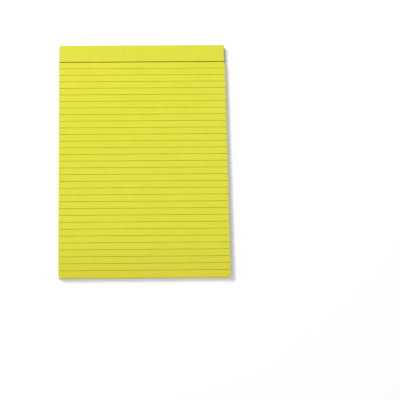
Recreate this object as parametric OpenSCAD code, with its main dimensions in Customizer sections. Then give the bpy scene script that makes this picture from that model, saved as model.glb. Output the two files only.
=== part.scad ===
// A ruled writing pad: a block of leaves gummed at the head onto a chipboard back.
// Width runs along X, the head faces +Y, and the pad lies on its board at Z = 0.
// All lengths are in millimetres.

/* [Sheet] */
// Width of a leaf and of the board
sheet_w = 216; // [140:1:260]
// Length of a leaf and of the board, from head to foot
sheet_l = 330; // [200:1:400]
// Number of leaves in the block
leaf_count = 80; // [20:1:100]
// Thickness of one leaf where the gum holds the block pressed
leaf_t = 0.075; // [0.06:0.005:0.12]

/* [Board] */
// Thickness of the chipboard back
board_t = 0.7; // [0.4:0.1:2]

/* [Head] */
// Blank margin, from the head edge to the middle of the heavy rule
head_margin = 24.5; // [12:0.1:40]
// How far the pressed zone runs on below the heavy rule
pressed_past = 2; // [1:0.1:4]
// Thickness of the gum coat over the head edge
gum_t = 0.4; // [0.2:0.05:1]
// How far the pressed zone is drawn in from the board's right side
draw_right = 1; // [0:0.1:2]
// How far the pressed zone is drawn in from the board's left side
draw_left = 0.4; // [0:0.1:2]

/* [Loose leaves] */
// Height that the loose leaves gain at the foot
foot_swell = 1.2; // [0:0.1:4]
// Furthest that a loose leaf's edge sits in from the board's edge
edge_scatter = 0.4; // [0.05:0.05:1]

/* [Rules] */
// Distance from one rule to the next
rule_pitch = 9.6; // [6:0.1:12]
// Least blank margin below the last rule
foot_margin = 6; // [4:0.5:20]
// Width of a plain rule
rule_w = 0.55; // [0.2:0.05:0.8]
// Width of the heavy rule at the head
head_rule_w = 1.3; // [0.4:0.05:1.6]
// Thickness of the ink on the top leaf
ink_t = 0.02; // [0.01:0.005:0.05]

/* [Hidden] */
// How far neighbouring leaves run into each other, so that the block is one solid
lap = 0.01;
// How far the loose leaves run into the pressed zone
weld = 0.5;
// Gap between the gum's lower edge and the surface that the pad lies on
gum_lift = 0.1;
// Bevel on the gum's outer edges, as a part of its thickness
gum_bevel = gum_t * 0.5;

// Board, leaves and gum together are centred on Y = 0.
y_foot = -(sheet_l + gum_t) / 2;
y_head = y_foot + sheet_l;
y_heavy = y_head - head_margin;
y_press = y_heavy - pressed_past;
loose_l = y_press - y_foot;
stack_t = leaf_count * leaf_t;
z_top = board_t + stack_t;
rule_count = floor((y_heavy - y_foot - foot_margin) / rule_pitch);

// Which piece to draw, or all of them

// Loose leaves stand apart by a share that grows evenly from the pressed zone to the foot.
function spread(y) = 1 + (foot_swell / stack_t) * (y_press - y) / loose_l;
// Height of the underside of leaf i at the place y
function leaf_z(i, y) = board_t + i * leaf_t * spread(y);
// Height of the top leaf's upper face at the place y
function page_z(y) = leaf_z(leaf_count, y);
// Uneven but repeatable share from 0 to 1: a slow drift up the stack and a quick jitter.
function drift(i, k) = 0.5 + 0.5 * sin(i * 9 + k * 131);
function jitter(i, k) = 0.5 + 0.5 * sin(i * i * 37 + i * 83 + k * 59);
function inset(i, k) = edge_scatter * (0.55 * drift(i, k) + 0.45 * jitter(i, k));

// Extrudes a profile drawn as [Y, Z] along X.
module along_x(x_from, x_to) {
    translate([x_from, 0, 0])
        rotate([90, 0, 90])
            linear_extrude(x_to - x_from)
                children();
}

// One loose leaf, with its own small offset at the left, the right and the foot.
module loose_leaf(i) {
    y_a = y_foot + inset(i, 3);
    y_b = y_press + weld;
    over = i < leaf_count - 1 ? lap : 0;
    along_x(-sheet_w / 2 + inset(i, 1), sheet_w / 2 - inset(i, 2))
        polygon([
            [y_a, leaf_z(i, y_a)],
            [y_b, leaf_z(i, y_b)],
            [y_b, leaf_z(i + 1, y_b) + over],
            [y_a, leaf_z(i + 1, y_a) + over]
        ]);
}

// One printed rule, lying on the face z_low to its full width.
module rule(y, width, x_from, x_to, z_a, z_b) {
    along_x(x_from, x_to)
        polygon([
            [y - width / 2, z_a],
            [y + width / 2, z_b],
            [y + width / 2, z_b + ink_t],
            [y - width / 2, z_a + ink_t]
        ]);
}

module backing_board() {
    color([0.62, 0.56, 0.46])
        translate([-sheet_w / 2, y_foot, 0])
            cube([sheet_w, sheet_l, board_t]);
}

// The pressed zone at the head is drawn in a little at both sides. Below it the leaves
// spring free: their edges step in and out, and the stack swells toward the foot.
module leaf_block() {
    color([0.88, 0.87, 0.24])
        union() {
            translate([-sheet_w / 2 + draw_left, y_press, board_t])
                cube([sheet_w - draw_left - draw_right, head_margin + pressed_past, stack_t]);
            for (i = [0 : leaf_count - 1])
                loose_leaf(i);
        }
}

// A brushed coat that covers the head ends of the leaves and of the board.
module head_gum() {
    color([0.93, 0.91, 0.82])
        along_x(-sheet_w / 2 + draw_left, sheet_w / 2 - draw_right)
            polygon([
                [y_head, gum_lift],
                [y_head + gum_t - gum_bevel, gum_lift],
                [y_head + gum_t, gum_lift + gum_bevel],
                [y_head + gum_t, z_top - gum_bevel],
                [y_head + gum_t - gum_bevel, z_top],
                [y_head, z_top]
            ]);
}

module head_rule() {
    color([0.45, 0.43, 0.08])
        rule(y_heavy, head_rule_w, -sheet_w / 2 + draw_left, sheet_w / 2 - draw_right, z_top, z_top);
}

// The plain rules run off both sides of the top leaf.
module ruled_lines() {
    top = leaf_count - 1;
    color([0.58, 0.56, 0.12])
        for (k = [1 : rule_count]) {
            y = y_heavy - k * rule_pitch;
            z_a = page_z(y - rule_w / 2);
            z_b = page_z(y + rule_w / 2);
            rule(y, rule_w, -sheet_w / 2 + inset(top, 1), sheet_w / 2 - inset(top, 2), z_a, z_b);
        }
}

backing_board();
leaf_block();
head_gum();
head_rule();
ruled_lines();
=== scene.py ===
"""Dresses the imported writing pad: chipboard back, leaves, head gum and printed rules."""

import logging
import math
from contextlib import contextmanager
from dataclasses import dataclass, field
from enum import Enum
from typing import Callable, Iterator

import bmesh
import bpy
from mathutils import Matrix, Vector


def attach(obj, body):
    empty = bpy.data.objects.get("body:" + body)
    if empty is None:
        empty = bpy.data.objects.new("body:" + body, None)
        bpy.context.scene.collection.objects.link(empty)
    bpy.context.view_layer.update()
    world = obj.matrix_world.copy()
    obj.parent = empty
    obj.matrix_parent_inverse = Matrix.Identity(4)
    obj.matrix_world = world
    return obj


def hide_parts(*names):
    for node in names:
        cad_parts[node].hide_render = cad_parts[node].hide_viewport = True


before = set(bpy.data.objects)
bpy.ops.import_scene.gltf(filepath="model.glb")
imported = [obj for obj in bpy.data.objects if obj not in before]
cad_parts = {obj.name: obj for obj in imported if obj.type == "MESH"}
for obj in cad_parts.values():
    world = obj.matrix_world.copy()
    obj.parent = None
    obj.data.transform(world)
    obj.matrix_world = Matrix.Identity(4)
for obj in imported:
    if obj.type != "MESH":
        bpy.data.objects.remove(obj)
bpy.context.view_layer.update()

log = logging.getLogger("pad")

MM = 0.001
HAIR = 0.01 * MM  # slack with which a point counts as lying on a line
LEVEL = 0.001 * MM  # slack with which two heights count as the same
WELD = 1e-7  # distance at which two points of a cut become one
BODY = "root"
WHITE = (1.0, 1.0, 1.0)

Triple = tuple[float, float, float]
Socket = bpy.types.NodeSocket


class Piece(Enum):
    """Names of the dressed pieces."""

    BOARD = "chipboard_back"
    LEAVES = "yellow_leaves"
    GUM = "padding_gum"
    HEAVY_RULE = "heavy_rule"
    PLAIN_RULES = "plain_rules"


class Side(Enum):
    """Sides of a leaf whose edge is offset by its own small amount."""

    LEFT = 1
    RIGHT = 2
    FOOT = 3


class Axis(Enum):
    """Axes of the shared frame, by their place in a vector."""

    X = 0
    Y = 1
    Z = 2


class Element(Enum):
    """Elements of a mesh that are picked in edit mode, by the name of their select mode."""

    POINT = "VERT"
    EDGE = "EDGE"
    FACE = "FACE"


class Push(Enum):
    """Ways in which a surface is pushed to and fro."""

    OUTWARD = "NORMAL"
    TO_HEAD = "Y"
    UP = "Z"


# Sizes


@dataclass(frozen=True)
class PadSizes:
    """Sizes shared by the pieces, in metres, as in the CAD source."""

    sheet_w: float = 216 * MM
    sheet_l: float = 330 * MM
    leaf_count: int = 80
    leaf_t: float = 0.075 * MM
    board_t: float = 0.7 * MM
    head_margin: float = 24.5 * MM
    pressed_past: float = 2 * MM
    gum_t: float = 0.4 * MM
    gum_lift: float = 0.1 * MM
    draw_right: float = 1 * MM
    draw_left: float = 0.4 * MM
    foot_swell: float = 1.2 * MM
    edge_scatter: float = 0.4 * MM
    rule_pitch: float = 9.6 * MM
    foot_margin: float = 6 * MM
    rule_w: float = 0.55 * MM
    head_rule_w: float = 1.3 * MM
    ink_t: float = 0.02 * MM

    @property
    def y_foot(self) -> float:
        """Foot edge of the board and of the longest leaf."""
        return -(self.sheet_l + self.gum_t) / 2

    @property
    def y_head(self) -> float:
        """Head edge of the leaves, where the gum begins."""
        return self.y_foot + self.sheet_l

    @property
    def y_heavy(self) -> float:
        """Middle line of the heavy rule."""
        return self.y_head - self.head_margin

    @property
    def y_press(self) -> float:
        """Lower end of the zone that the gum holds pressed."""
        return self.y_heavy - self.pressed_past

    @property
    def z_top(self) -> float:
        """Upper face of the leaves in the pressed zone."""
        return self.board_t + self.leaf_count * self.leaf_t

    @property
    def rule_count(self) -> int:
        """Number of plain rules that fit above the foot margin."""
        return math.floor((self.y_heavy - self.y_foot - self.foot_margin) / self.rule_pitch)

    def rule_y(self, number: int) -> float:
        """Middle line of a plain rule, counted from 1 below the heavy rule."""
        return self.y_heavy - number * self.rule_pitch

    def inset(self, leaf: int, side: Side) -> float:
        """How far a leaf's edge sits in from the board's edge, as in the CAD source.

        It is uneven but repeatable: a slow drift up the stack and a quick jitter.

        Args:
            leaf: Number of the leaf, 0 at the board.
            side: The edge that is asked for.

        Returns:
            The inset in metres.
        """
        k = side.value
        drift = 0.5 + 0.5 * math.sin(math.radians(leaf * 9 + k * 131))
        jitter = 0.5 + 0.5 * math.sin(math.radians(leaf * leaf * 37 + leaf * 83 + k * 59))
        return self.edge_scatter * (0.55 * drift + 0.45 * jitter)


# Modelling helpers


def deselect_all() -> None:
    """Leave nothing selected, so that an operator acts on the new piece alone."""
    bpy.ops.object.select_all(action="DESELECT")


def activate(piece: bpy.types.Object) -> None:
    """Select one object alone and make it the active one.

    Args:
        piece: The object.
    """
    deselect_all()
    piece.select_set(True)
    bpy.context.view_layer.objects.active = piece


@contextmanager
def editing(piece: bpy.types.Object) -> Iterator[None]:
    """Open a piece in edit mode, and close it again afterwards.

    Args:
        piece: The mesh object to edit.
    """
    activate(piece)
    bpy.ops.object.mode_set(mode="EDIT")
    try:
        yield
    finally:
        bpy.ops.object.mode_set(mode="OBJECT")


def pick(piece: bpy.types.Object, kind: Element, test: Callable[..., bool]) -> None:
    """Select the elements of the piece in edit mode that pass a test, and no others.

    Args:
        piece: The mesh object that is in edit mode.
        kind: Whether points, edges or faces are looked at.
        test: Says whether an element is wanted.
    """
    bpy.ops.mesh.select_mode(type=kind.value)
    bpy.ops.mesh.select_all(action="DESELECT")
    mesh = bmesh.from_edit_mesh(piece.data)
    every = {Element.POINT: mesh.verts, Element.EDGE: mesh.edges, Element.FACE: mesh.faces}
    for element in every[kind]:
        if test(element):
            element.select_set(True)
    if kind is Element.POINT:
        mesh.select_flush(True)
    bmesh.update_edit_mesh(piece.data)


def place(size: Triple, centre: Triple) -> None:
    """Bring a new primitive of unit size to its size and place, in edit mode.

    Args:
        size: Side lengths along X, Y and Z.
        centre: The middle of the finished box.
    """
    bpy.ops.mesh.select_all(action="SELECT")
    bpy.ops.transform.resize(value=size, center_override=(0, 0, 0))
    bpy.ops.transform.translate(value=centre)


def cut(axis: Axis, at: float) -> None:
    """Bisect what is selected in edit mode, and keep both sides.

    Args:
        axis: The axis that stands square to the cut.
        at: Place of the cut on that axis.
    """
    point, normal = Vector(), Vector()
    point[axis.value], normal[axis.value] = at, 1.0
    bpy.ops.mesh.bisect(plane_co=point, plane_no=normal, use_fill=False, threshold=WELD)


def cut_through(axis: Axis, places: list[float]) -> None:
    """Cut the whole piece in edit mode at each of some places.

    Args:
        axis: The axis that stands square to the cuts.
        places: Places of the cuts on that axis.
    """
    for at in places:
        bpy.ops.mesh.select_all(action="SELECT")
        cut(axis, at)


def even_places(low: float, high: float, steps: int) -> list[float]:
    """Places that divide a length into equal steps, without its two ends."""
    return [low + (high - low) * step / steps for step in range(1, steps)]


def name_points(piece: bpy.types.Object, name: str) -> None:
    """Put the selected points of the piece in edit mode into a new vertex group.

    Args:
        piece: The mesh object that is in edit mode.
        name: The group's name.
    """
    bpy.ops.object.vertex_group_add()
    piece.vertex_groups[-1].name = name
    bpy.ops.object.vertex_group_assign()


def apply_modifier(piece: bpy.types.Object, modifier: bpy.types.Modifier) -> None:
    """Apply a modifier to its piece."""
    activate(piece)
    bpy.ops.object.modifier_apply(modifier=modifier.name)


def roughen(
    piece: bpy.types.Object,
    group: str,
    strength: float,
    grain: Triple,
    direction: Push = Push.OUTWARD,
    mid_level: float = 0.5,
) -> None:
    """Push the points of a group to and fro by a cloud texture, and apply it.

    Args:
        piece: The mesh object to roughen.
        group: Vertex group that weights the push.
        strength: Full travel of the push.
        grain: Size of the cloud's grain along X, Y and Z.
        direction: Way of the push.
        mid_level: Texture value that leaves a point where it is.
    """
    clouds = bpy.data.textures.new(f"{piece.name}_{group}", "CLOUDS")
    clouds.noise_scale = 1.0
    clouds.noise_depth = 2
    bpy.ops.object.empty_add(location=(0, 0, 0))
    ruler = bpy.context.object
    ruler.scale = grain
    bpy.context.view_layer.update()
    push = piece.modifiers.new("push", "DISPLACE")
    push.texture = clouds
    push.texture_coords = "OBJECT"
    push.texture_coords_object = ruler
    push.vertex_group = group
    push.strength = strength
    push.mid_level = mid_level
    push.direction = direction.value
    apply_modifier(piece, push)
    bpy.data.objects.remove(ruler, do_unlink=True)
    bpy.data.textures.remove(clouds)


def smooth(piece: bpy.types.Object, degrees: float) -> None:
    """Shade a piece smooth wherever its faces meet at less than an angle."""
    activate(piece)
    bpy.ops.object.shade_smooth_by_angle(angle=math.radians(degrees))


def new_piece(name: Piece) -> bpy.types.Object:
    """Name the primitive that was just added.

    Args:
        name: The piece that it becomes.

    Returns:
        The new object.
    """
    piece = bpy.context.object
    piece.name = piece.data.name = name.value
    return piece


# Material helpers


@dataclass(frozen=True)
class Pattern:
    """A noise pattern: cells in a unit of its coordinates, stretch of these, finer layers."""

    cells: float
    stretch: Triple = (1.0, 1.0, 1.0)
    detail: float = 2.0
    fineness: float = 0.5


class Nodes:
    """A small hand for wiring the nodes of a material or of a group."""

    def __init__(self, tree: bpy.types.NodeTree) -> None:
        """Start with an empty tree."""
        self.tree = tree
        tree.nodes.clear()

    def add(self, kind: str, **values: object) -> bpy.types.Node:
        """Add a node and set its properties.

        Args:
            kind: Blender's name for the node's type.
            values: Properties of the node by name.

        Returns:
            The new node.
        """
        node = self.tree.nodes.new(kind)
        for name, value in values.items():
            setattr(node, name, value)
        return node

    def wire(self, source: Socket, target: Socket) -> None:
        """Link one socket to another."""
        self.tree.links.new(source, target)

    def fill(self, slot: Socket, value: object) -> None:
        """Wire a socket into a slot, or set the slot to a number or a colour.

        Args:
            slot: The input of a node.
            value: The socket, number or colour; None leaves the slot as it is.
        """
        if isinstance(value, Socket):
            self.wire(value, slot)
        elif isinstance(value, tuple):
            slot.default_value = (*value, 1.0)
        elif value is not None:
            slot.default_value = value

    def math(self, kind: str, a: object, b: object = None, c: object = None) -> Socket:
        """Add a Math node.

        Args:
            kind: The operation.
            a: First input, a number or a socket.
            b: Second input.
            c: Third input.

        Returns:
            The result's socket.
        """
        node = self.add("ShaderNodeMath", operation=kind)
        for slot, value in zip(node.inputs, (a, b, c)):
            self.fill(slot, value)
        return node.outputs[0]

    def weigh(self, first: Socket, second: Socket, share: float) -> Socket:
        """Add two values, the second with its share and the first with the rest."""
        rest = self.math("MULTIPLY", first, 1.0 - share)
        return self.math("ADD", rest, self.math("MULTIPLY", second, share))

    def less(self, value: Socket) -> Socket:
        """Take a value from 1."""
        return self.math("SUBTRACT", 1.0, value)

    def ramp(self, value: Socket, low: float, high: float) -> Socket:
        """Map a range of a value smoothly onto 0 to 1.

        Args:
            value: The socket to map.
            low: The value that becomes 0.
            high: The value that becomes 1.

        Returns:
            The mapped socket.
        """
        node = self.add("ShaderNodeMapRange", interpolation_type="SMOOTHSTEP")
        self.wire(value, node.inputs["Value"])
        node.inputs["From Min"].default_value = low
        node.inputs["From Max"].default_value = high
        return node.outputs["Result"]

    def mix(self, factor: object, a: object, b: object, kind: str = "MIX") -> Socket:
        """Mix two colours.

        Args:
            factor: Share of the second colour, a number or a socket.
            a: First colour, a tuple or a socket.
            b: Second colour.
            kind: The blend type.

        Returns:
            The mixed colour's socket.
        """
        node = self.add("ShaderNodeMix", data_type="RGBA", blend_type=kind)
        for slot, value in zip((node.inputs[0], node.inputs[6], node.inputs[7]), (factor, a, b)):
            self.fill(slot, value)
        return node.outputs[2]

    def noise(self, vector: Socket, pattern: Pattern) -> Socket:
        """Lay a noise pattern over coordinates.

        Args:
            vector: Coordinates that it reads.
            pattern: The pattern.

        Returns:
            The noise value's socket.
        """
        if pattern.stretch != Pattern.stretch:
            stretched = self.add("ShaderNodeMapping")
            self.wire(vector, stretched.inputs["Vector"])
            stretched.inputs["Scale"].default_value = pattern.stretch
            vector = stretched.outputs["Vector"]
        node = self.add("ShaderNodeTexNoise")
        self.wire(vector, node.inputs["Vector"])
        node.inputs["Scale"].default_value = pattern.cells
        node.inputs["Detail"].default_value = pattern.detail
        node.inputs["Roughness"].default_value = pattern.fineness
        return node.outputs["Fac"]

    def parts(self, vector: Socket) -> tuple[Socket, Socket]:
        """Take coordinates apart.

        Args:
            vector: The coordinates.

        Returns:
            Their X and their Y.
        """
        node = self.add("ShaderNodeSeparateXYZ")
        self.wire(vector, node.inputs[0])
        return node.outputs["X"], node.outputs["Y"]


class Surface(Nodes):
    """The nodes of one material, with its Principled shader and its object coordinates."""

    def __init__(self, name: str, roughness: float, specular: float) -> None:
        """Begin the material.

        Args:
            name: The material's name.
            roughness: Roughness all over the surface.
            specular: Specular level all over the surface.
        """
        self.material = bpy.data.materials.new(name)
        self.material.use_nodes = True
        super().__init__(self.material.node_tree)
        self.shader = self.add("ShaderNodeBsdfPrincipled")
        self.shader.inputs["Roughness"].default_value = roughness
        self.shader.inputs["Specular IOR Level"].default_value = specular
        result = self.add("ShaderNodeOutputMaterial")
        self.wire(self.shader.outputs["BSDF"], result.inputs["Surface"])
        self.here = self.add("ShaderNodeTexCoord").outputs["Object"]

    def feed(self, name: str, source: Socket) -> None:
        """Wire a socket into one of the shader's inputs."""
        self.wire(source, self.shader.inputs[name])

    def emboss(self, height: Socket, depth: float) -> None:
        """Feed a height into the shader's normal.

        Args:
            height: The height, 0 to 1.
            depth: Real depth of the relief, in metres.
        """
        node = self.add("ShaderNodeBump")
        node.inputs["Strength"].default_value = 1.0
        node.inputs["Distance"].default_value = depth
        self.wire(height, node.inputs["Height"])
        self.feed("Normal", node.outputs["Normal"])

    def felt(self, fibre: bpy.types.NodeTree, grain: float) -> bpy.types.Node:
        """Place the shared fibre group.

        Args:
            fibre: The shared fibre group.
            grain: Fibres in a metre.

        Returns:
            The group's node.
        """
        node = self.add("ShaderNodeGroup", node_tree=fibre)
        self.wire(self.here, node.inputs["Vector"])
        node.inputs["Grain"].default_value = grain
        return node


FIBRES_ALONG = Pattern(1.0, (0.35, 1.6, 1.0), 3.0, 0.6)
FIBRES_ACROSS = Pattern(0.9, (1.5, 0.4, 1.0), 3.0, 0.6)
FIBRE_CLOUD = Pattern(0.035, detail=3.0, fineness=0.55)


def fibre_group() -> bpy.types.NodeTree:
    """Build the paper fibre effect that the leaves, the board and the ink share.

    Returns:
        The group: Vector and Grain in; Tone, the uneven fibres, and Cloud, their slow
        change over the sheet, out.
    """
    tree = bpy.data.node_groups.new("paper_fibre", "ShaderNodeTree")
    nodes = Nodes(tree)
    for label, kind in (("Vector", "NodeSocketVector"), ("Grain", "NodeSocketFloat")):
        tree.interface.new_socket(label, in_out="INPUT", socket_type=kind)
    for label in ("Tone", "Cloud"):
        tree.interface.new_socket(label, in_out="OUTPUT", socket_type="NodeSocketFloat")
    given, out = nodes.add("NodeGroupInput").outputs, nodes.add("NodeGroupOutput").inputs
    sized = nodes.add("ShaderNodeVectorMath", operation="SCALE")
    nodes.wire(given["Vector"], sized.inputs[0])
    nodes.wire(given["Grain"], sized.inputs["Scale"])
    along = nodes.noise(sized.outputs[0], FIBRES_ALONG)
    across = nodes.noise(sized.outputs[0], FIBRES_ACROSS)
    nodes.wire(nodes.weigh(along, across, 0.5), out["Tone"])
    nodes.wire(nodes.noise(sized.outputs[0], FIBRE_CLOUD), out["Cloud"])
    return tree


# Finishes


@dataclass(frozen=True)
class Finish:
    """What every finish has in common.

    A finish has two colours, and passes from one to the other where an uneven tone goes
    from the first of its limits to the second.
    """

    name: str
    roughness: float = 0.85
    specular: float = 0.25
    limits: tuple[float, float] = (0.3, 0.7)

    def begin(self) -> Surface:
        """Begin the material."""
        return Surface(self.name, self.roughness, self.specular)


@dataclass(frozen=True)
class PageFinish(Finish):
    """Uncoated yellow writing paper, seen on its face.

    margin tints the page above the heavy rule, a painted shade darkens its lower end as if less light
    fell there, and warm takes over along the free edges.
    """

    roughness: float = 0.9
    light: Triple = (0.682, 0.664, 0.0402)
    deep: Triple = (0.652, 0.634, 0.0358)
    margin: Triple = (0.960, 0.965, 1.08)
    # painted shade: a darker multiply over the lower end of the page, standing in for light that falls
    # off toward the foot
    painted_foot_shade: Triple = (0.935, 0.930, 0.945)
    painted_shade_reach: float = 60 * MM
    warm: Triple = (0.658, 0.573, 0.0310)
    warm_sides: float = 0.35
    warm_foot: float = 0.9
    side_reach: float = 4 * MM
    foot_reach: float = 15 * MM
    wander: float = 3 * MM
    wander_pattern: Pattern = Pattern(60.0, detail=3.0)
    cloud_share: float = 0.55
    grain: float = 2200.0
    relief: float = 0.012 * MM

    def rim(self, page: Surface, pad: PadSizes) -> Socket:
        """Find how warm the page is toward its free edges, the foot the most.

        Args:
            page: The page's nodes.
            pad: The pad's sizes.

        Returns:
            The share of the warm colour.
        """
        x, y = page.parts(page.here)
        side = page.math("SUBTRACT", pad.sheet_w / 2, page.math("ABSOLUTE", x))
        foot = page.math("ADD", y, -pad.y_foot)
        uneven = page.math("MULTIPLY", page.noise(page.here, self.wander_pattern), self.wander)
        uneven = page.math("SUBTRACT", uneven, self.wander / 2)
        near = page.math("ADD", page.math("MINIMUM", side, foot), uneven)
        sides = page.less(page.ramp(near, 0.0, self.side_reach))
        low = page.less(page.ramp(foot, 0.0, self.foot_reach))
        sides = page.math("MULTIPLY", sides, self.warm_sides)
        return page.math("MAXIMUM", sides, page.math("MULTIPLY", low, self.warm_foot))

    def make(self, fibre: bpy.types.NodeTree, pad: PadSizes) -> bpy.types.Material:
        """Build the material.

        Args:
            fibre: The shared fibre group.
            pad: The pad's sizes.

        Returns:
            The finished material.
        """
        page = self.begin()
        felt = page.felt(fibre, self.grain)
        tone = page.weigh(felt.outputs["Tone"], felt.outputs["Cloud"], self.cloud_share)
        face = page.mix(page.ramp(tone, *self.limits), self.light, self.deep)
        _, y = page.parts(page.here)
        half = pad.head_rule_w / 2
        head = page.ramp(y, pad.y_heavy - half, pad.y_heavy + half)
        face = page.mix(head, face, self.margin, "MULTIPLY")
        # Painted shade: the page is darkened toward its foot, as if less light fell there.
        low = page.ramp(y, pad.y_foot + self.painted_shade_reach, pad.y_foot)
        face = page.mix(low, face, self.painted_foot_shade, "MULTIPLY")
        page.feed("Base Color", page.mix(self.rim(page, pad), face, self.warm))
        page.emboss(felt.outputs["Tone"], self.relief)
        return page.material


@dataclass(frozen=True)
class LeafEdgeFinish(Finish):
    """Cut edges of the stacked leaves."""

    roughness: float = 0.92
    limits: tuple[float, float] = (0.15, 0.85)
    light: Triple = (0.83, 0.775, 0.064)
    deep: Triple = (0.73, 0.665, 0.048)
    smear: Pattern = Pattern(45.0, (1.0, 1.0, 30.0), 4.0, 0.6)
    smear_share: float = 0.45
    fibre_limits: tuple[float, float] = (0.35, 0.65)
    fibre_share: float = 0.25
    grain: float = 3000.0
    relief: float = 0.02 * MM

    def make(self, fibre: bpy.types.NodeTree) -> bpy.types.Material:
        """Build the material.

        Args:
            fibre: The shared fibre group.

        Returns:
            The finished material.
        """
        cut_edge = self.begin()
        felt = cut_edge.felt(fibre, self.grain)
        leaf = cut_edge.add("ShaderNodeAttribute", attribute_name="leaf_tone")
        smear = cut_edge.noise(cut_edge.here, self.smear)
        tone = cut_edge.weigh(leaf.outputs["Fac"], smear, self.smear_share)
        edge = cut_edge.mix(cut_edge.ramp(tone, *self.limits), self.light, self.deep)
        fine = cut_edge.ramp(felt.outputs["Tone"], *self.fibre_limits)
        fine = cut_edge.math("MULTIPLY", fine, self.fibre_share)
        cut_edge.feed("Base Color", cut_edge.mix(fine, edge, self.deep))
        cut_edge.emboss(felt.outputs["Tone"], self.relief)
        return cut_edge.material


@dataclass(frozen=True)
class Specks:
    """Small marks strewn over a surface, where a pattern passes its limits."""

    colour: Triple
    pattern: Pattern
    limits: tuple[float, float]
    share: float


@dataclass(frozen=True)
class ChipboardFinish(Finish):
    """Grey-brown chipboard with darker flecks and lighter chips."""

    roughness: float = 0.9
    ground: Triple = (0.34, 0.27, 0.19)
    pale: Triple = (0.45, 0.38, 0.28)
    flecks: Specks = Specks((0.14, 0.10, 0.07), Pattern(900.0, (1.0, 0.45, 1.0)), (0.66, 0.74), 0.7)
    chips: Specks = Specks((0.60, 0.55, 0.46), Pattern(700.0, (0.5, 1.0, 1.0), 1.0), (0.68, 0.76), 0.6)
    cloud_share: float = 0.4
    grain: float = 900.0
    relief: float = 0.05 * MM

    def make(self, fibre: bpy.types.NodeTree) -> bpy.types.Material:
        """Build the material.

        Args:
            fibre: The shared fibre group.

        Returns:
            The finished material.
        """
        board = self.begin()
        felt = board.felt(fibre, self.grain)
        tone = board.weigh(felt.outputs["Tone"], felt.outputs["Cloud"], self.cloud_share)
        face = board.mix(board.ramp(tone, *self.limits), self.ground, self.pale)
        for specks in (self.flecks, self.chips):
            marks = board.ramp(board.noise(board.here, specks.pattern), *specks.limits)
            face = board.mix(board.math("MULTIPLY", marks, specks.share), face, specks.colour)
        board.feed("Base Color", face)
        board.emboss(felt.outputs["Tone"], self.relief)
        return board.material


@dataclass(frozen=True)
class GumFinish(Finish):
    """Brushed off-white padding gum, with the leaf edges showing through."""

    roughness: float = 0.5
    roughness_range: float = 0.3
    specular: float = 0.4
    coat: float = 0.15
    coat_roughness: float = 0.3
    limits: tuple[float, float] = (0.38, 0.62)
    thick: Triple = (0.80, 0.76, 0.62)
    thin: Triple = (0.75, 0.71, 0.44)
    stroke: Pattern = Pattern(1400.0, (0.05, 1.0, 1.0), 4.0, 0.6)
    patch: Pattern = Pattern(110.0, (0.5, 1.0, 1.0), 3.0)
    patch_share: float = 0.35
    relief: float = 0.05 * MM

    def make(self) -> bpy.types.Material:
        """Build the material.

        Returns:
            The finished material.
        """
        gum = self.begin()
        stroke = gum.noise(gum.here, self.stroke)
        patch = gum.noise(gum.here, self.patch)
        cover = gum.ramp(gum.weigh(stroke, patch, self.patch_share), *self.limits)
        gum.feed("Base Color", gum.mix(cover, self.thin, self.thick))
        least = self.roughness - self.roughness_range / 2
        gum.feed("Roughness", gum.math("MULTIPLY_ADD", patch, self.roughness_range, least))
        gum.shader.inputs["Coat Weight"].default_value = self.coat
        gum.shader.inputs["Coat Roughness"].default_value = self.coat_roughness
        gum.emboss(stroke, self.relief)
        return gum.material


@dataclass(frozen=True)
class InkFinish(Finish):
    """Offset ink that sinks unevenly into the fibres."""

    specular: float = 0.05
    limits: tuple[float, float] = (0.35, 0.65)
    full: Triple = (0.205, 0.178, 0.002)
    faint: Triple = (0.295, 0.262, 0.003)
    run: Pattern = Pattern(110.0, (0.4, 1.0, 1.0), 3.0, 0.6)
    fibre_share: float = 0.3
    grain: float = 2200.0
    relief: float = 0.012 * MM

    def make(self, fibre: bpy.types.NodeTree) -> bpy.types.Material:
        """Build the material.

        Args:
            fibre: The shared fibre group.

        Returns:
            The finished material.
        """
        ink = self.begin()
        felt = ink.felt(fibre, self.grain)
        uneven = ink.weigh(ink.noise(ink.here, self.run), felt.outputs["Tone"], self.fibre_share)
        ink.feed("Base Color", ink.mix(ink.ramp(uneven, *self.limits), self.full, self.faint))
        ink.emboss(felt.outputs["Tone"], self.relief)
        return ink.material


HEAVY_INK = InkFinish("heavy_ink", full=(0.149, 0.106, 0.001), faint=(0.217, 0.163, 0.002))
PLAIN_INK = InkFinish("plain_ink")


# Pieces


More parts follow.
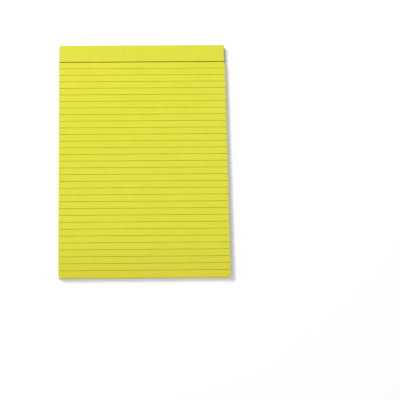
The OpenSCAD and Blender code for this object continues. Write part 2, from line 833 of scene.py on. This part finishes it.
@dataclass
class ChipboardBack:
    """The stiff board under the leaves."""

    pad: PadSizes
    corner: float = 0.9 * MM
    crush: float = 0.12 * MM
    cell: float = 12 * MM
    fray: float = 0.16 * MM
    fray_grain: float = 5 * MM
    soft_angle: float = 40.0

    def upright(self, edge: bmesh.types.BMEdge) -> bool:
        """Whether an edge of the box stands upright."""
        return abs(edge.verts[0].co.z - edge.verts[1].co.z) > self.pad.board_t / 2

    @staticmethod
    def on_rim(edge: bmesh.types.BMEdge) -> bool:
        """Find out whether an edge runs level, between a flat face and the cut side.

        Args:
            edge: The edge.

        Returns:
            Whether it does.
        """
        slopes = [abs(face.normal.z) for face in edge.link_faces]
        level = abs(edge.verts[0].co.z - edge.verts[1].co.z) < LEVEL
        return level and min(slopes) < 0.5 < max(slopes)

    def model(self) -> bpy.types.Object:
        """Build the board with blunted corners and a slightly crushed cut edge.

        Returns:
            The board.
        """
        pad = self.pad
        deselect_all()
        bpy.ops.mesh.primitive_cube_add(size=1.0)
        board = new_piece(Piece.BOARD)
        middle = (0.0, (pad.y_foot + pad.y_head) / 2, pad.board_t / 2)
        spans = ((Axis.X, -pad.sheet_w / 2, pad.sheet_w / 2), (Axis.Y, pad.y_foot, pad.y_head))
        with editing(board):
            place((pad.sheet_w, pad.sheet_l, pad.board_t), middle)
            pick(board, Element.EDGE, self.upright)
            bpy.ops.mesh.bevel(offset=self.corner, offset_type="OFFSET", segments=4, affect="EDGES")
            pick(board, Element.EDGE, self.on_rim)
            bpy.ops.mesh.bevel(offset=self.crush, offset_type="OFFSET", segments=2, affect="EDGES")
            for axis, low, high in spans:
                cut_through(axis, even_places(low, high, round((high - low) / self.cell)))
            cut_through(Axis.Z, [pad.board_t / 2])
            pick(board, Element.POINT, lambda v: abs(v.co.z - pad.board_t / 2) < HAIR)
            name_points(board, "cut_edge")
        roughen(board, "cut_edge", self.fray, (self.fray_grain,) * 3, mid_level=1.0)
        smooth(board, self.soft_angle)
        return board

    def build(self, finish: bpy.types.Material) -> bpy.types.Object:
        """Model and dress the board.

        Args:
            finish: The chipboard material.

        Returns:
            The finished piece.
        """
        board = self.model()
        board.data.materials.append(finish)
        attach(board, BODY)
        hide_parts("backing_board")
        return board


@dataclass(frozen=True)
class LeafTone:
    """How the tone of the cut edges changes from leaf to leaf.

    It is half a quick jitter and half a slow wave that is itself swayed by a slower one.
    """

    jitter_step: float = 12.9898
    jitter_reach: float = 43758.5453
    wave_step: float = 0.41
    sway: float = 1.3
    sway_step: float = 0.17

    def at(self, leaf: int) -> float:
        """Find the tone of a leaf.

        Args:
            leaf: Number of the leaf, 0 at the board.

        Returns:
            The tone, 0 to 1.
        """
        quick = math.sin(leaf * self.jitter_step) * self.jitter_reach
        swayed = leaf * self.wave_step + self.sway * math.sin(leaf * self.sway_step)
        slow = 0.5 + 0.5 * math.sin(swayed)
        return 0.5 * (quick - math.floor(quick)) + 0.5 * slow


@dataclass
class YellowLeaves:
    """The block of leaves, with the printed rules cut from its page.

    Its mesh is built from the page down, leaf by leaf. The outline that the ring of edge
    points has at each time is kept as a scale and a shift of the board's outline.
    """

    pad: PadSizes
    columns: int = 30
    rows: int = 44
    corner: float = 0.5 * MM
    groove: float = 0.05 * MM
    arris: float = 0.12
    spring: float = 1.5 * MM
    cockle: float = 0.34 * MM
    cockle_grain: Triple = (75 * MM, 95 * MM, 95 * MM)
    cockle_reach: float = 45 * MM
    cockle_steps: int = 100
    settle: float = 0.2 * MM
    rule_reach: float = 14 * MM
    soft_angle: float = 25.0
    tone: LeafTone = LeafTone()
    scale: list[float] = field(default_factory=lambda: [1.0, 1.0])
    shift: list[float] = field(default_factory=lambda: [0.0, 0.0])

    def ring_to(self, leaf: int, groove: float) -> None:
        """Bring the selected ring of edge points to a leaf's own outline.

        Args:
            leaf: Number of the leaf, 0 at the board.
            groove: Further inset all round, for the gap under a leaf.
        """
        pad = self.pad
        left = pad.inset(leaf, Side.LEFT) + groove
        right = pad.inset(leaf, Side.RIGHT) + groove
        foot = pad.inset(leaf, Side.FOOT) + groove
        sx = (pad.sheet_w - left - right) / pad.sheet_w
        sy = (pad.sheet_l - foot) / pad.sheet_l
        dx = (left - right) / 2
        dy = pad.y_head * (1 - sy)
        fx, fy = sx / self.scale[0], sy / self.scale[1]
        bpy.ops.transform.resize(value=(fx, fy, 1.0), center_override=(0, 0, 0))
        bpy.ops.transform.translate(value=(dx - self.shift[0] * fx, dy - self.shift[1] * fy, 0.0))
        self.scale, self.shift = [sx, sy], [dx, dy]

    def at_corner(self, vert: bmesh.types.BMVert) -> bool:
        """Find out whether a point of the page is one of its four corners.

        Args:
            vert: The point.

        Returns:
            Whether it is.
        """
        pad = self.pad
        beside = abs(vert.co.x) > pad.sheet_w / 2 - HAIR
        return beside and not pad.y_foot + HAIR <= vert.co.y <= pad.y_head - HAIR

    def stack(self) -> bpy.types.Object:
        """Build the page and, from its rim down, the edge of every leaf.

        Returns:
            The closed block, still with square ends and an even height.
        """
        pad = self.pad
        deselect_all()
        bpy.ops.mesh.primitive_grid_add(x_subdivisions=self.columns, y_subdivisions=self.rows, size=1.0)
        block = new_piece(Piece.LEAVES)
        with editing(block):
            place((pad.sheet_w, pad.sheet_l, 1.0), (0.0, (pad.y_foot + pad.y_head) / 2, pad.z_top))
            cut_through(Axis.Y, [pad.y_press, pad.y_press - self.spring])
            pick(block, Element.POINT, self.at_corner)
            bpy.ops.mesh.bevel(offset=self.corner, offset_type="OFFSET", segments=3, affect="VERTICES")
            pick(block, Element.EDGE, lambda e: e.is_boundary)
            top = pad.leaf_count - 1
            self.ring_to(top, 0.0)
            body, bevel = pad.leaf_t * (1 - 2 * self.arris), pad.leaf_t * self.arris
            for leaf in range(top, -1, -1):
                for drop, groove in ((bevel, 0.0), (body, 0.0), (bevel, self.groove)):
                    bpy.ops.mesh.extrude_region_move(TRANSFORM_OT_translate={"value": (0, 0, -drop)})
                    self.ring_to(leaf, groove if leaf else 0.0)
            bpy.ops.mesh.edge_face_add()
        return block

    def tone_leaves(self, block: bpy.types.Object) -> None:
        """Store the tone of each leaf on the faces of its edge.

        Args:
            block: The block of leaves, still with an even height.
        """
        pad = self.pad
        tone = block.data.attributes.new("leaf_tone", "FLOAT", "FACE")
        leaves = [int((f.center.z - pad.board_t) / pad.leaf_t) for f in block.data.polygons]
        tone.data.foreach_set("value", [self.tone.at(leaf) for leaf in leaves])

    def draw_in(self, block: bpy.types.Object) -> None:
        """Draw the pressed zone at the head in at the sides.

        Args:
            block: The block of leaves.
        """
        pad = self.pad
        held = pad.sheet_w - pad.draw_left - pad.draw_right
        squeeze = held / (pad.sheet_w - pad.edge_scatter / 2)
        with editing(block):
            pick(block, Element.POINT, lambda v: v.co.y > pad.y_press - HAIR)
            bpy.ops.transform.resize(value=(squeeze, 1.0, 1.0), center_override=(0, 0, 0))
            bpy.ops.transform.translate(value=((pad.draw_left - pad.draw_right) / 2, 0.0, 0.0))
            bpy.ops.mesh.select_all(action="SELECT")
            bpy.ops.mesh.normals_make_consistent(inside=False)

    def swell(self, block: bpy.types.Object) -> None:
        """Let the leaves gain height evenly from the pressed zone to the foot.

        Args:
            block: The block of leaves.
        """
        pad = self.pad
        deselect_all()
        bpy.ops.object.add(type="LATTICE", location=(0, 0, 0))
        cage = bpy.context.object
        cage.data.points_u, cage.data.points_v, cage.data.points_w = 2, 2, 2
        for axis in "uvw":
            setattr(cage.data, f"interpolation_type_{axis}", "KEY_LINEAR")
        low = Vector((-pad.sheet_w / 2, pad.y_foot, pad.board_t))
        high = Vector((pad.sheet_w / 2, pad.y_press, pad.z_top))
        cage.location = (low + high) / 2
        cage.scale = high - low
        for point in cage.data.points:
            if point.co.y < 0 and point.co.z > 0:
                point.co_deform.z += (pad.foot_swell - self.settle) / cage.scale.z
        bpy.context.view_layer.update()
        hold = block.modifiers.new("swell", "LATTICE")
        hold.object = cage
        apply_modifier(block, hold)
        bpy.data.objects.remove(cage, do_unlink=True)

    def waver(self, block: bpy.types.Object) -> None:
        """Let the loose leaves cockle a little, the upper ones the most.

        Args:
            block: The block of leaves.
        """
        pad = self.pad
        loose = block.vertex_groups.new(name="loose")
        levels: dict[int, list[int]] = {}
        for vert in block.data.vertices:
            height = max(0.0, min(1.0, (vert.co.z - pad.board_t) / (pad.z_top - pad.board_t)))
            free = max(0.0, min(1.0, (pad.y_press - vert.co.y) / self.cockle_reach))
            levels.setdefault(round(self.cockle_steps * height * free), []).append(vert.index)
        for level, points in levels.items():
            loose.add(points, level / self.cockle_steps, "REPLACE")
        roughen(block, "loose", self.cockle, self.cockle_grain, Push.UP)

    def rule(self, block: bpy.types.Object, y: float, width: float) -> None:
        """Cut the outline of one rule into the page.

        Args:
            block: The block of leaves, in edit mode.
            y: The rule's middle line.
            width: The rule's width.
        """
        for side in (-0.5, 0.5):
            pick(block, Element.FACE, lambda f: f.material_index == 0
                 and abs(f.calc_center_median().y - y) < self.rule_reach)
            cut(Axis.Y, y + side * width)

    def lift_print(
        self, block: bpy.types.Object, name: Piece, bands: list[tuple[float, float]]
    ) -> bpy.types.Object:
        """Copy bands of the page into a film of ink that follows its waves.

        Args:
            block: The block of leaves.
            name: The new piece.
            bands: Middle line and width of each rule.

        Returns:
            The closed film of ink.
        """
        with editing(block):
            for y, width in bands:
                self.rule(block, y, width)
            pick(block, Element.FACE, lambda f: f.material_index == 0 and any(
                abs(f.calc_center_median().y - y) < width / 2 - HAIR for y, width in bands))
            bpy.ops.mesh.duplicate()
            bpy.ops.mesh.separate(type="SELECTED")
        film = next(o for o in bpy.context.selected_objects if o is not block)
        film.name = film.data.name = name.value
        film.vertex_groups.clear()
        film.data.materials.clear()
        activate(film)
        coat = film.modifiers.new("coat", "SOLIDIFY")
        coat.thickness = self.pad.ink_t
        coat.offset = 1.0
        apply_modifier(film, coat)
        return film

    def build(
        self, page: bpy.types.Material, edge: bpy.types.Material,
        heavy: bpy.types.Material, plain: bpy.types.Material,
    ) -> list[bpy.types.Object]:
        """Model and dress the leaves and their printed rules.

        Args:
            page: Finish of the page.
            edge: Finish of the cut edges.
            heavy: Ink of the heavy rule.
            plain: Ink of the plain rules.

        Returns:
            The block, the heavy rule and the plain rules.
        """
        pad = self.pad
        block = self.stack()
        block.data.materials.append(page)
        block.data.materials.append(edge)
        for face in block.data.polygons:
            face.material_index = 0 if face.center.z > pad.z_top - LEVEL else 1
        self.tone_leaves(block)
        self.draw_in(block)
        self.swell(block)
        self.waver(block)
        plain_bands = [(pad.rule_y(k), pad.rule_w) for k in range(1, pad.rule_count + 1)]
        plain_film = self.lift_print(block, Piece.PLAIN_RULES, plain_bands)
        heavy_film = self.lift_print(block, Piece.HEAVY_RULE, [(pad.y_heavy, pad.head_rule_w)])
        heavy_film.data.materials.append(heavy)
        plain_film.data.materials.append(plain)
        smooth(block, self.soft_angle)
        for piece, node, slot in (
            (block, "leaf_block", "leaves"),
            (heavy_film, "head_rule", "heavy_ink"),
            (plain_film, "ruled_lines", "fine_ink"),
        ):
            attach(piece, BODY)
            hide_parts(node)
        return [block, heavy_film, plain_film]


@dataclass
class PaddingGum:
    """The brushed coat on the head edge."""

    pad: PadSizes
    columns: int = 60
    rows: int = 9
    round_share: float = 0.55
    brushed_share: float = 0.6
    stroke: float = 0.26 * MM
    stroke_grain: Triple = (14 * MM, 5 * MM, 0.9 * MM)
    soft_angle: float = 50.0

    def model(self) -> bpy.types.Object:
        """Build the coat, with brush strokes along its outer face.

        Returns:
            The coat.
        """
        pad = self.pad
        low = Vector((-pad.sheet_w / 2 + pad.draw_left, pad.y_head, pad.gum_lift))
        high = Vector((pad.sheet_w / 2 - pad.draw_right, pad.y_head + pad.gum_t, pad.z_top))
        rounding = pad.gum_t * self.round_share
        deselect_all()
        bpy.ops.mesh.primitive_cube_add(size=1.0)
        coat = new_piece(Piece.GUM)
        with editing(coat):
            place(tuple(high - low), tuple((low + high) / 2))
            pick(coat, Element.EDGE, lambda e: all(v.co.y > high.y - HAIR for v in e.verts))
            bpy.ops.mesh.bevel(offset=rounding, offset_type="OFFSET", segments=3, affect="EDGES")
            cut_through(Axis.X, even_places(low.x, high.x, self.columns))
            cut_through(Axis.Z, even_places(low.z, high.z, self.rows))
            pick(coat, Element.POINT, lambda v: v.co.y > high.y - self.brushed_share * pad.gum_t)
            name_points(coat, "brushed")
        roughen(coat, "brushed", self.stroke, self.stroke_grain, Push.TO_HEAD, mid_level=1.0)
        smooth(coat, self.soft_angle)
        return coat

    def build(self, finish: bpy.types.Material) -> bpy.types.Object:
        """Model and dress the gum.

        Args:
            finish: The gum material.

        Returns:
            The finished piece.
        """
        coat = self.model()
        coat.data.materials.append(finish)
        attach(coat, BODY)
        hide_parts("head_gum")
        return coat


# Studio


@dataclass(frozen=True)
class SoftBox:
    """One square soft box, turned to the pad."""

    name: str
    place: Triple
    size: float
    watts: float
    colour: Triple = WHITE

    def build(self) -> None:
        """Hang the soft box in its place and turn it to the pad."""
        data = bpy.data.lights.new(self.name, "AREA")
        data.shape = "SQUARE"
        data.size = self.size
        data.energy = self.watts
        data.color = self.colour
        lamp = bpy.data.objects.new(self.name, data)
        lamp.location = self.place
        lamp.visible_camera = False
        toward = -Vector(self.place)
        lamp.rotation_euler = toward.to_track_quat("-Z", "Y").to_euler()
        bpy.context.scene.collection.objects.link(lamp)


@dataclass(frozen=True)
class Camera:
    """The camera at the photograph's viewing angle."""

    focal_px: float = 2635.1
    frame_px: float = 400.0
    place_mm: Triple = (-33.6, -1510.0, 3021.0)
    tilt: float = -25.679
    swing: float = 1.996
    roll: float = 1.286
    sensor: float = 36.0
    nearest: float = 0.05
    farthest: float = 50.0

    def build(self) -> None:
        """Make the camera and give it to the scene."""
        data = bpy.data.cameras.new("camera")
        data.sensor_width = self.sensor
        data.lens = self.focal_px / self.frame_px * self.sensor
        data.clip_start, data.clip_end = self.nearest, self.farthest
        camera = bpy.data.objects.new("camera", data)
        view = (
            Matrix.Rotation(math.radians(self.roll), 4, "Z")
            @ Matrix.Rotation(math.radians(self.tilt), 4, "X")
            @ Matrix.Rotation(math.radians(self.swing), 4, "Y")
        )
        stand = Matrix.Translation(Vector(self.place_mm) * MM)
        camera.matrix_world = stand @ view.transposed()
        bpy.context.scene.collection.objects.link(camera)
        bpy.context.scene.camera = camera


@dataclass(frozen=True)
class Floor:
    """A pale floor that fades into the white surround.

    It is seen from above only, and is open under the board, where nothing shows it from
    above, so that light also reaches the board's underside.
    """

    pad: PadSizes
    size: float = 40.0
    drop: float = 0.03 * MM
    lap: float = 0.4 * MM
    colour: Triple = (0.967, 0.965, 0.968)
    shade: float = 0.985
    shade_pattern: Pattern = Pattern(3.0)
    roughness: float = 0.9
    specular: float = 0.1
    fade_from: float = 0.3
    fade_to: float = 1.3

    def model(self) -> bpy.types.Object:
        """Lay the floor, with its opening under the board.

        Returns:
            The floor.
        """
        pad = self.pad
        side = pad.sheet_w / 2 - self.lap
        foot, head = pad.y_foot + self.lap, pad.y_head - self.lap

        def under_board(face: bmesh.types.BMFace) -> bool:
            """Whether a face of the floor lies under the board."""
            middle = face.calc_center_median()
            return abs(middle.x) < side and foot < middle.y < head

        deselect_all()
        bpy.ops.mesh.primitive_plane_add(size=self.size, location=(0, 0, 0))
        floor = bpy.context.object
        floor.name = floor.data.name = "floor"
        with editing(floor):
            bpy.ops.mesh.select_all(action="SELECT")
            bpy.ops.transform.translate(value=(0, 0, -self.drop))
            cut_through(Axis.X, [-side, side])
            cut_through(Axis.Y, [foot, head])
            pick(floor, Element.FACE, under_board)
            bpy.ops.mesh.delete(type="FACE")
        return floor

    def build(self) -> None:
        """Lay and dress the floor."""
        floor = self.model()
        pale = Surface("pale_floor", self.roughness, self.specular)
        shaded = tuple(self.shade * c for c in self.colour)
        tone = pale.noise(pale.here, self.shade_pattern)
        pale.feed("Base Color", pale.mix(tone, self.colour, shaded))
        reach = pale.add("ShaderNodeVectorMath", operation="LENGTH")
        pale.wire(pale.here, reach.inputs[0])
        near = pale.ramp(reach.outputs["Value"], self.fade_to, self.fade_from)
        above = pale.less(pale.add("ShaderNodeNewGeometry").outputs["Backfacing"])
        pale.feed("Alpha", pale.math("MULTIPLY", near, above))
        floor.data.materials.append(pale.material)


@dataclass(frozen=True)
class Studio:
    """The floor, an even surround that the camera sees as white, the soft boxes and the camera."""

    pad: PadSizes
    surround: float = 0.36
    cool: Triple = (0.97, 1.0, 1.10)
    boxes: tuple[SoftBox, ...] = (
        SoftBox("key_box", (-12.0, 8.0, 14.0), 6.0, 2330.0),
        SoftBox("head_box", (-0.25, 0.62, 0.68), 0.28, 2.6),
        SoftBox("foot_box", (1.0, -18.0, 7.0), 10.0, 2145.0, (0.97, 1.0, 1.38)),
        SoftBox("under_box", (0.6, -1.0, -1.8), 1.5, 45.0),
    )

    def light_surround(self) -> None:
        """Give the scene its even surround."""
        world = bpy.data.worlds.new("surround")
        world.use_nodes = True
        sky = Nodes(world.node_tree)
        dome = sky.add("ShaderNodeBackground")
        seen = sky.add("ShaderNodeLightPath").outputs["Is Camera Ray"]
        sky.wire(sky.mix(seen, self.cool, WHITE), dome.inputs["Color"])
        strength = sky.math("MULTIPLY_ADD", seen, 1.0 - self.surround, self.surround)
        sky.wire(strength, dome.inputs["Strength"])
        sky.wire(dome.outputs["Background"], sky.add("ShaderNodeOutputWorld").inputs["Surface"])
        bpy.context.scene.world = world

    def build(self) -> None:
        """Lay the floor, light the scene and set up the camera."""
        Floor(self.pad).build()
        self.light_surround()
        for box in self.boxes:
            box.build()
        Camera().build()
        bpy.context.scene.view_settings.view_transform = "Standard"


def main() -> None:
    """Build every piece in order and report it."""
    logging.basicConfig(level=logging.INFO, format="%(name)s: %(message)s")
    pad = PadSizes()
    fibre = fibre_group()
    page = PageFinish("yellow_page").make(fibre, pad)
    edge = LeafEdgeFinish("leaf_edges").make(fibre)
    heavy, plain = HEAVY_INK.make(fibre), PLAIN_INK.make(fibre)
    pieces = [
        ChipboardBack(pad).build(ChipboardFinish("chipboard").make(fibre)),
        *YellowLeaves(pad).build(page, edge, heavy, plain),
        PaddingGum(pad).build(GumFinish("padding_gum").make()),
    ]
    for piece in pieces:
        log.info("%s: %d faces", piece.name, len(piece.data.polygons))
    Studio(pad).build()
    log.info("studio and camera are set")


if __name__ == "__main__":
    main()
